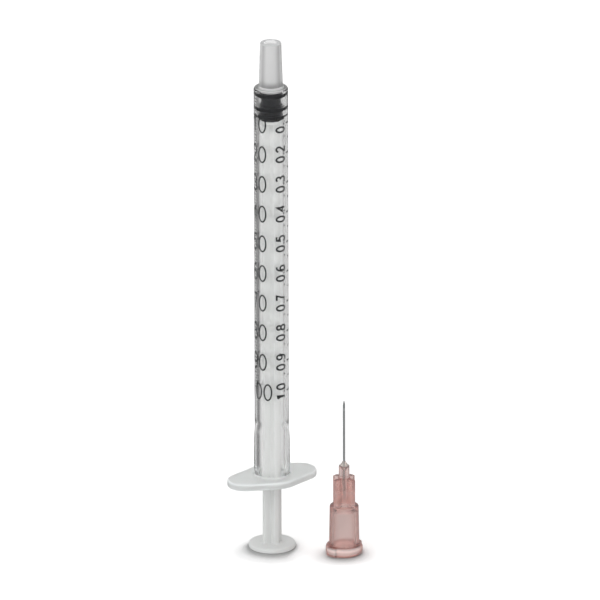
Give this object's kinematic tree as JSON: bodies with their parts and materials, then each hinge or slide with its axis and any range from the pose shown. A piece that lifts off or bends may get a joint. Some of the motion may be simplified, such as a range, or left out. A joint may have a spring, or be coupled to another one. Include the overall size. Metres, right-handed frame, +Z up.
{
  "type": "hypodermic syringe",
  "caption": "Slim clear syringe with slip tip, finger flange, sliding plunger and rubber stopper, standing on its thumb rest beside its needle on a finned hub.",
  "frame": {"origin": "centre of the thumb rest's underside, on which the syringe stands with the plunger fully in", "axes": "+Z up the barrel's axis towards the tip, +X along the finger flange, -Y towards the side where the needle stands"},
  "size_m": [0.023, 0.0182, 0.0997],
  "materials": {
    "clear_plastic": "glossy clear polypropylene",
    "milky_plastic": "milky translucent polypropylene, satin gloss",
    "black_rubber": "smooth black elastomer with a thin film of lubricant",
    "tinted_plastic": "translucent pinkish brown polypropylene",
    "steel": "polished stainless tube",
    "cured_adhesive": "clear cured adhesive"
  },
  "bodies": {
    "plunger": {"plunger_rod": "milky_plastic", "stopper": "black_rubber"},
    "barrel": {"barrel": "clear_plastic"},
    "needle": {"needle_hub": "tinted_plastic", "cannula": "steel", "adhesive": "cured_adhesive"}
  },
  "joints": [
    {"name": "plunger_slide", "type": "slide", "parent": "plunger", "child": "barrel", "axis": [0, 0, 1], "range_m": [0, 0.0606]},
    {"name": "needle_lift", "type": "slide", "parent": "plunger", "child": "needle", "axis": [0, 0, 1], "range_m": [0, 0.12]}
  ]
}
